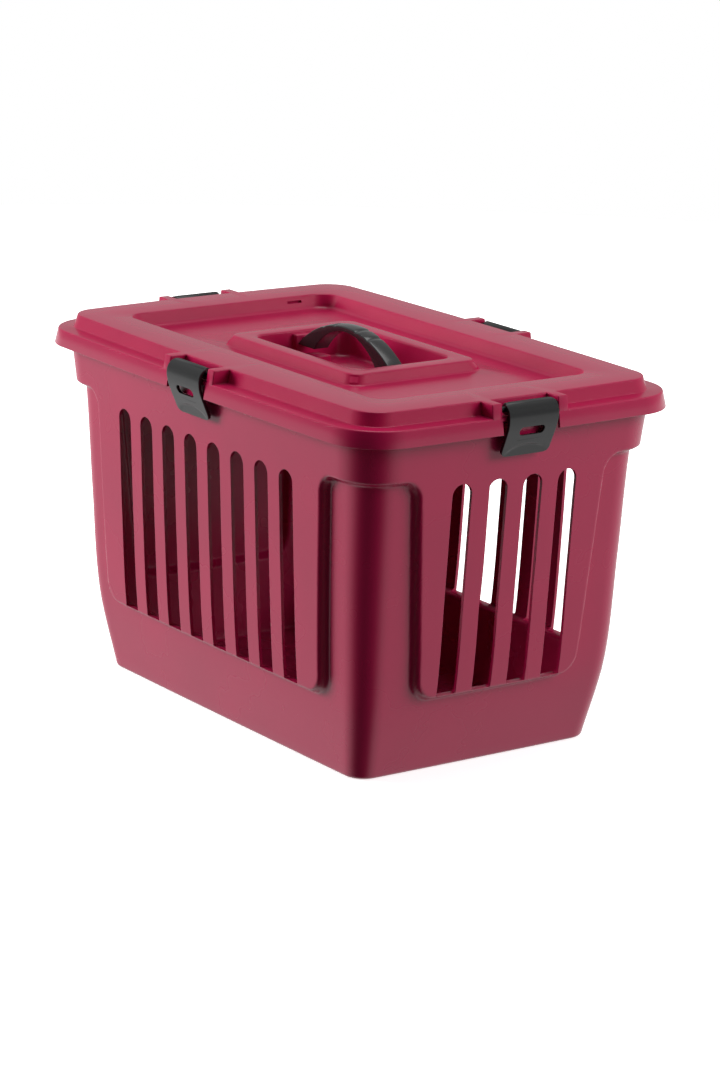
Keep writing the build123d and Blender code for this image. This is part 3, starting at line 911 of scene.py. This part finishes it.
@dataclass
class Clip:
    """One side clip: a barrel between the ears and a curved plate whose tail tucks under the skirt."""

    sizes: CarrierSizes
    finish: PlasticFinish
    side: Side
    thickness: float = 2.6
    profile_out: Sequence[float] = (-7.0, -2.6, 1.1, 2.4, 2.1, 1.0, -0.7, -3.4, -6.3, -9.2)
    profile_z: Sequence[float] = (313.0, 311.0, 307.2, 302.3, 297.0, 292.5, 288.0, 281.6, 275.0, 268.0)
    widths: Sequence[float] = (24.1, 24.3, 24.4, 24.4, 24.2, 24.0, 24.0, 23.9, 23.8, 23.8)
    top_corner: float = 4.5
    tail_corner: float = 5.0
    slot_half: float = 12.4
    slot_height: float = 7.2
    slot_z: float = 289.5
    scoop_half: float = 23.0
    scoop_height: float = 12.0
    scoop_depth: float = 1.5
    rows: int = 56
    columns: int = 44

    def lengths(self) -> list[float]:
        """Distance of each knot of the profile along it."""
        total = [0.0]
        for i in range(1, len(self.profile_z)):
            total.append(total[-1] + math.hypot(self.profile_out[i] - self.profile_out[i - 1],
                                                self.profile_z[i] - self.profile_z[i - 1]))
        return total

    def front_point(self, along: float) -> tuple[float, float]:
        """A point of the plate's outer line, as distance outside the skirt's face and height."""
        stops = self.lengths()
        return smooth_value(stops, self.profile_out, along), smooth_value(stops, self.profile_z, along)

    def half_width(self, along: float) -> float:
        """Half the plate's width at a place along it, with rounded corners at both ends."""
        stops = self.lengths()
        half = smooth_value(stops, self.widths, along)
        for radius, from_end in ((self.top_corner, along), (self.tail_corner, stops[-1] - along)):
            if from_end < radius:
                half -= radius - math.sqrt(max(radius ** 2 - (radius - from_end) ** 2, 0.0))
        return half

    def scoop(self, s: float, z: float) -> float:
        """Depth of the thumb scoop, deepest just under its arched upper edge."""
        tail_z = self.profile_z[-1]
        reach = math.hypot(s / self.scoop_half, (z - tail_z + 2.0) / self.scoop_height)
        fade = min(max((z - tail_z) / (self.scoop_height - 2.0), 0.0), 1.0)
        return self.scoop_depth * ramp((1.0 - reach) / 0.16) * fade

    def plate(self) -> bpy.types.Object:
        """The curved plate as a closed solid, drawn on +X."""
        face = self.sizes.face(self.side)
        total = self.lengths()[-1]
        front, back = [], []
        for row in range(self.rows + 1):
            along = total * row / self.rows
            out, z = self.front_point(along)
            near, far = self.front_point(max(along - 0.05, 0.0)), self.front_point(min(along + 0.05, total))
            length = math.hypot(far[0] - near[0], far[1] - near[1])
            normal = ((near[1] - far[1]) / length, (far[0] - near[0]) / length)
            half = self.half_width(along)
            shifts = [half * (2 * column / self.columns - 1) for column in range(self.columns + 1)]
            dips = [self.scoop(s, z) for s in shifts]
            front.append([(face + out - d * normal[0], s, z - d * normal[1]) for s, d in zip(shifts, dips)])
            depths = [max(self.thickness, dip + 1.4) for dip in dips]
            back.append([(face + out - d * normal[0], s, z - d * normal[1]) for s, d in zip(shifts, depths)])
        return slab("plate", front, back)

    def slot(self) -> bpy.types.Object:
        """The cutter of the oblong slot."""
        face, half, high = self.sizes.face(self.side), self.slot_half, self.slot_height / 2
        outline = []
        for centre, start in ((half - high, -90.0), (high - half, 90.0)):
            for i in range(13):
                angle = math.radians(start + 15.0 * i)
                outline.append((centre + high * math.cos(angle), self.slot_z + high * math.sin(angle)))
        return prism("slot", outline, lambda u, v, d: (d, u, v), face - 8.0, face + 20.0)

    def build(self) -> bpy.types.Object:
        """Builds and dresses the clip.

        Returns:
            The finished object.
        """
        made = self.plate()
        combine(made, [self.slot()], Blend.CUT)
        bevel(made, 0.7, 3, 42.0)
        face = self.sizes.face(self.side)
        x, z = face - self.sizes.pivot_setback, self.sizes.pivot_z
        parts = []
        for radius, reach in ((4.9, 22.5), (2.2, 32.4)):
            rod = prism("rod", circle(radius, 40), lambda u, v, d: (x + u, d, z + v), -reach, reach)
            bevel(rod, 0.4, 2)
            parts.append(rod)
        hook = block("hook", (face - 6.4, -12.4, 281.0), (face - 3.4, 12.4, 284.3))
        bevel(hook, 0.5, 2)
        combine(made, parts + [hook], Blend.UNION)
        turned(made, self.side.degrees)
        return dress(made, self.finish, f"clip_{self.side.label}_plate", 40.0)


@dataclass
class Handle:
    """The arched grip with flat feet, finger grooves and two trunnions."""

    sizes: CarrierSizes
    finish: PlasticFinish
    crest_z: float = 328.5
    crest_thickness: float = 5.5
    foot_z: float = 299.8
    half_length: float = 70.0
    grip_half: float = 45.0
    half_width: float = 7.5
    crown: float = 1.2
    groove_places: Sequence[float] = (-32.0, -16.0, 16.0, 32.0)
    groove_depth: float = 0.8
    groove_half: float = 3.5
    steps: int = 120
    bands: int = 10

    @staticmethod
    def arc_point(half: float, foot: float, crest: float, t: float) -> tuple[float, float]:
        """A point on the arc through both feet and the crest, for t from -1 to 1."""
        rise = crest - foot
        radius = (half ** 2 + rise ** 2) / (2 * rise)
        angle = math.asin(half / radius) * t
        return radius * math.sin(angle), crest - radius + radius * math.cos(angle)

    def groove(self, x: float) -> float:
        """Depth of the finger grooves across the top at x."""
        shares = [ramp(1.0 - abs(x - place) / self.groove_half) for place in self.groove_places]
        return self.groove_depth * max(shares)

    def build(self) -> bpy.types.Object:
        """Builds and dresses the handle.

        Returns:
            The finished object.
        """
        inner_crest = self.crest_z - self.crest_thickness
        places = [2 * j / self.bands - 1 for j in range(self.bands + 1)]
        upper, lower = [], []
        for i in range(self.steps + 1):
            t = 2 * i / self.steps - 1
            fade = math.cos(math.pi / 2 * t)
            x, z = self.arc_point(self.half_length, self.foot_z, self.crest_z, t)
            low_x, low_z = self.arc_point(self.grip_half, self.foot_z, inner_crest, t)
            dip = self.groove(x)
            upper.append([(x, p * self.half_width, z - dip - self.crown * fade * p * p) for p in places])
            lower.append([(low_x, p * self.half_width, low_z) for p in places])
        made = slab("handle_grip", upper, lower)
        bevel(made, 1.2, 4, 50.0)
        rods = []
        for near, far in ((-75.4, -62.0), (62.0, 75.4)):
            rods.append(prism("trunnion", circle(2.4), lambda u, v, d: (d, u, self.sizes.handle_pivot_z + v),
                              near, far))
        combine(made, rods, Blend.UNION)
        return dress(made, self.finish, "handle_grip", 38.0)


@dataclass
class Studio:
    """A pale floor, soft lamps, a white surround with one dark side, and the photograph's camera."""

    azimuth: float = 54.58
    elevation: float = 15.0
    roll: float = 1.46
    focal_pixels: float = 3591.5
    image_width: float = 720.0
    distance: float = 3.06743
    target_right: float = 0.01121
    target_height: float = 0.14164
    sensor: float = 36.0
    dark_azimuth: float = -52.0
    dark_start: float = 0.34
    dark_full: float = 0.90
    dark_level: float = 0.03
    ambient: float = 0.60
    mirrored_sky: float = 0.42
    mirrored_floor: float = 1.0
    shadow_reach: float = 0.32
    white_from: float = 0.62
    paper_glow: float = 0.62
    floor_radius: float = 2500.0
    floor_drop: float = 0.2

    def camera(self) -> None:
        """Places the camera where the photograph was taken from."""
        az, el, roll = (math.radians(v) for v in (self.azimuth, self.elevation, self.roll))
        back = Vector((math.sin(az) * math.cos(el), -math.cos(az) * math.cos(el), math.sin(el)))
        right = Vector((math.cos(az), math.sin(az), 0.0))
        up = back.cross(right)
        turned_right = right * math.cos(roll) + up * math.sin(roll)
        turned_up = up * math.cos(roll) - right * math.sin(roll)
        target = right * self.target_right + Vector((0.0, 0.0, self.target_height))
        lens = bpy.data.cameras.new("camera")
        lens.sensor_fit = "HORIZONTAL"
        lens.sensor_width = self.sensor
        lens.lens = self.focal_pixels * self.sensor / self.image_width
        lens.clip_end = 50.0
        made = bpy.data.objects.new("camera", lens)
        turn = Matrix((turned_right, turned_up, back)).transposed().to_4x4()
        made.matrix_world = Matrix.Translation(target + back * self.distance) @ turn
        bpy.context.scene.collection.objects.link(made)
        bpy.context.scene.camera = made

    def lamp(self, name: str, place: Sequence[float], size: float, power: float,
             mirrored: bool = True) -> None:
        """Adds a soft square lamp that looks at the carrier, and says whether glossy plastic mirrors it."""
        light = bpy.data.lights.new(name, "AREA")
        light.size = size
        light.energy = power
        made = bpy.data.objects.new(name, light)
        made.location = place
        aim = Vector((0.0, 0.0, 0.15)) - Vector(place)
        made.rotation_euler = aim.to_track_quat("-Z", "Y").to_euler()
        made.visible_glossy = mirrored
        bpy.context.scene.collection.objects.link(made)

    def surround_level(self, tree: bpy.types.NodeTree, ray: bpy.types.NodeSocket,
                       mirrored: float) -> bpy.types.NodeSocket:
        """Adds the nodes for how brightly the studio lights or is mirrored in a direction.

        Args:
            tree: The node tree to add to.
            ray: The vector along the incoming ray.
            mirrored: Level that a glossy ray sees.

        Returns:
            The output that holds the level.
        """
        nodes, links = tree.nodes, tree.links
        angle = math.radians(self.dark_azimuth)
        level = nodes.new("ShaderNodeVectorMath")
        level.operation = "MULTIPLY"
        level.inputs[1].default_value = (1.0, 1.0, 0.0)
        links.new(ray, level.inputs[0])
        flat = nodes.new("ShaderNodeVectorMath")
        flat.operation = "NORMALIZE"
        links.new(level.outputs["Vector"], flat.inputs[0])
        facing = nodes.new("ShaderNodeVectorMath")
        facing.operation = "DOT_PRODUCT"
        facing.inputs[1].default_value = (math.cos(angle), math.sin(angle), 0.0)
        links.new(flat.outputs["Vector"], facing.inputs[0])
        dark = nodes.new("ShaderNodeMapRange")
        dark.interpolation_type = "SMOOTHSTEP"
        dark.inputs["From Min"].default_value = self.dark_start
        dark.inputs["From Max"].default_value = self.dark_full
        dark.inputs["To Min"].default_value = 1.0
        dark.inputs["To Max"].default_value = self.dark_level
        links.new(facing.outputs["Value"], dark.inputs["Value"])
        path = nodes.new("ShaderNodeLightPath")
        soft = nodes.new("ShaderNodeMapRange")
        soft.inputs["To Min"].default_value = self.ambient
        soft.inputs["To Max"].default_value = mirrored
        links.new(path.outputs["Is Glossy Ray"], soft.inputs["Value"])
        total = nodes.new("ShaderNodeMath")
        total.operation = "MULTIPLY"
        links.new(dark.outputs["Result"], total.inputs[0])
        links.new(soft.outputs["Result"], total.inputs[1])
        return total.outputs["Value"]

    def world(self) -> None:
        """White where it is seen directly, and white with one dark side where it lights or is mirrored."""
        world = bpy.data.worlds.new("surround")
        world.use_nodes = True
        bpy.context.scene.world = world
        nodes, links = world.node_tree.nodes, world.node_tree.links
        nodes.clear()
        path, place = nodes.new("ShaderNodeLightPath"), nodes.new("ShaderNodeTexCoord")
        fill, white = nodes.new("ShaderNodeBackground"), nodes.new("ShaderNodeBackground")
        fill.inputs["Color"].default_value = white.inputs["Color"].default_value = (1.0, 1.0, 1.0, 1.0)
        level = self.surround_level(world.node_tree, place.outputs["Generated"], self.mirrored_sky)
        links.new(level, fill.inputs["Strength"])
        mix = nodes.new("ShaderNodeMixShader")
        out = nodes.new("ShaderNodeOutputWorld")
        links.new(path.outputs["Is Camera Ray"], mix.inputs["Fac"])
        links.new(fill.outputs["Background"], mix.inputs[1])
        links.new(white.outputs["Background"], mix.inputs[2])
        links.new(mix.outputs["Shader"], out.inputs["Surface"])

    def floor_material(self) -> bpy.types.Material:
        """White paper that takes a shadow near the carrier, with the surround's dark side where mirrored."""
        material = bpy.data.materials.new("floor_white")
        material.use_nodes = True
        nodes, links = material.node_tree.nodes, material.node_tree.links
        shader = nodes["Principled BSDF"]
        shader.inputs["Base Color"].default_value = (0.85, 0.85, 0.85, 1.0)
        shader.inputs["Roughness"].default_value = 0.9
        shader.inputs["Specular IOR Level"].default_value = 0.1
        shader.inputs["Emission Color"].default_value = (1.0, 1.0, 1.0, 1.0)
        place, span = nodes.new("ShaderNodeTexCoord"), nodes.new("ShaderNodeVectorMath")
        span.operation = "LENGTH"
        links.new(place.outputs["Object"], span.inputs[0])
        away = nodes.new("ShaderNodeMapRange")
        away.interpolation_type = "SMOOTHSTEP"
        away.inputs["From Min"].default_value = self.shadow_reach
        away.inputs["From Max"].default_value = self.white_from
        away.inputs["To Min"].default_value = self.paper_glow
        away.inputs["To Max"].default_value = 1.0
        links.new(span.outputs["Value"], away.inputs["Value"])
        links.new(away.outputs["Result"], shader.inputs["Emission Strength"])
        geometry, back = nodes.new("ShaderNodeNewGeometry"), nodes.new("ShaderNodeVectorMath")
        back.operation = "SCALE"
        back.inputs["Scale"].default_value = -1.0
        links.new(geometry.outputs["Incoming"], back.inputs[0])
        glow, mix = nodes.new("ShaderNodeEmission"), nodes.new("ShaderNodeMixShader")
        level = self.surround_level(material.node_tree, back.outputs["Vector"], self.mirrored_floor)
        links.new(level, glow.inputs["Strength"])
        path = nodes.new("ShaderNodeLightPath")
        links.new(path.outputs["Is Camera Ray"], mix.inputs["Fac"])
        links.new(glow.outputs["Emission"], mix.inputs[1])
        links.new(shader.outputs["BSDF"], mix.inputs[2])
        links.new(mix.outputs["Shader"], nodes["Material Output"].inputs["Surface"])
        return material

    def floor(self) -> bpy.types.Object:
        """A round pale floor just under the carrier."""
        rim = [(u, v, -self.floor_drop) for u, v in circle(self.floor_radius, 64)]
        made = mesh_object("floor", rim, [tuple(range(len(rim)))])
        made.data.materials.append(self.floor_material())
        return made

    def build(self) -> None:
        """Sets up the camera, the lamps, the surround and the floor."""
        bpy.context.scene.view_settings.view_transform = "Standard"
        self.camera()
        self.lamp("key", (-2.0, -1.9, 1.0), 1.2, 98.0, False)
        self.lamp("back", (1.8, 1.4, 1.3), 1.2, 36.0, False)
        self.lamp("top", (-0.2, 0.3, 2.4), 1.4, 14.0)
        self.world()
        self.floor()


def main() -> None:
    """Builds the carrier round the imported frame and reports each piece."""
    logging.basicConfig(level=logging.INFO)
    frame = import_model()
    sizes = CarrierSizes()
    pieces = [
        (Tub(sizes, TUB_RED).build(), "tub", "tub_plastic"),
        (Lid(sizes, LID_RED).build(), "lid", "lid_plastic"),
        (Handle(sizes, HANDLE_BLACK).build(), "handle", "handle_plastic"),
    ]
    pieces += [(Clip(sizes, CLIP_GREY, side).build(), f"clip_{side.label}", "clip_plastic") for side in Side]
    log.info("%d pieces for %d nodes of the frame", len(pieces), len(frame["nodes"]))
    for piece, node, slot in pieces:
        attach(piece, node)
        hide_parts(node)
        log.info("%s: %d faces", piece.name, len(piece.data.polygons))
    Studio().build()


if __name__ == "__main__":
    main()
